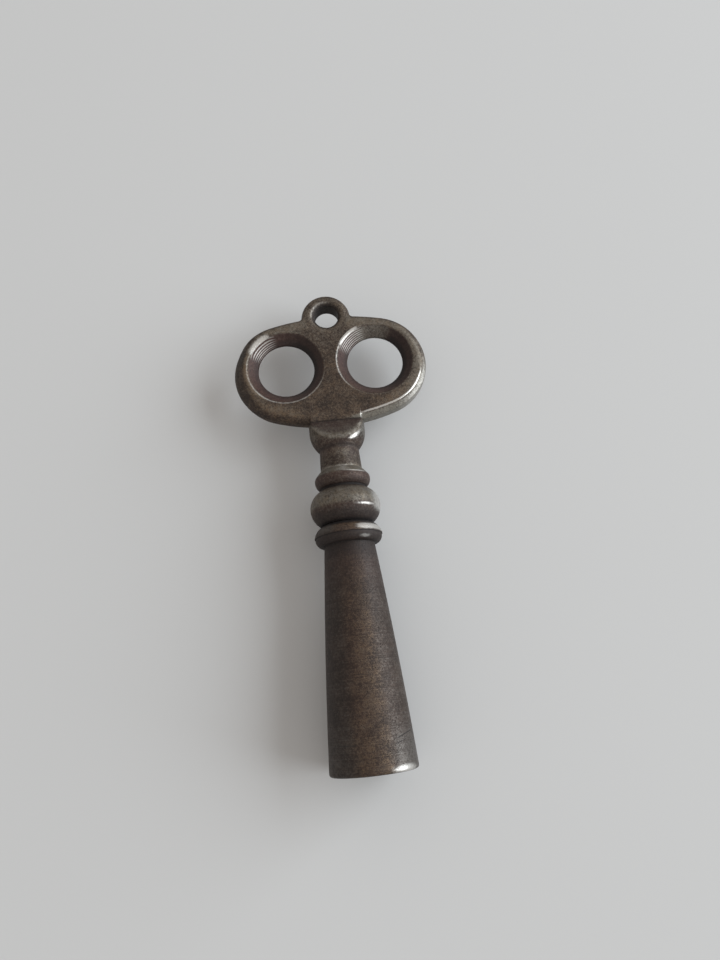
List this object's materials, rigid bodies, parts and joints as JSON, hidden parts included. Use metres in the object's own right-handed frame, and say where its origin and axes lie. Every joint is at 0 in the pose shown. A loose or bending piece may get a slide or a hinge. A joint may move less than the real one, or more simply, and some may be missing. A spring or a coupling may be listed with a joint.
{
  "type": "clock key",
  "caption": "Flat winding key for a clock: oval bow with finger holes and a hanging eye, turned stem, tapered barrel with a square socket.",
  "frame": {"origin": "centre of the barrel's mouth, on the key's axis", "axes": "+Y along the key from the mouth to the bow, +X across the bow, +Z out of the bow's face; the key lies flat"},
  "size_m": [0.029, 0.0694, 0.0118],
  "materials": {
    "bow_iron": "worn dark brown patina, bright on the lips",
    "stem_iron": "worn dark patina, bright on the edges",
    "barrel_iron": "dark patina with fine pitting",
    "socket_steel": "dull steel"
  },
  "bodies": {
    "root": {"bow": "bow_iron", "stem": "stem_iron", "barrel": "barrel_iron", "socket_bush": "socket_steel"}
  },
  "joints": []
}
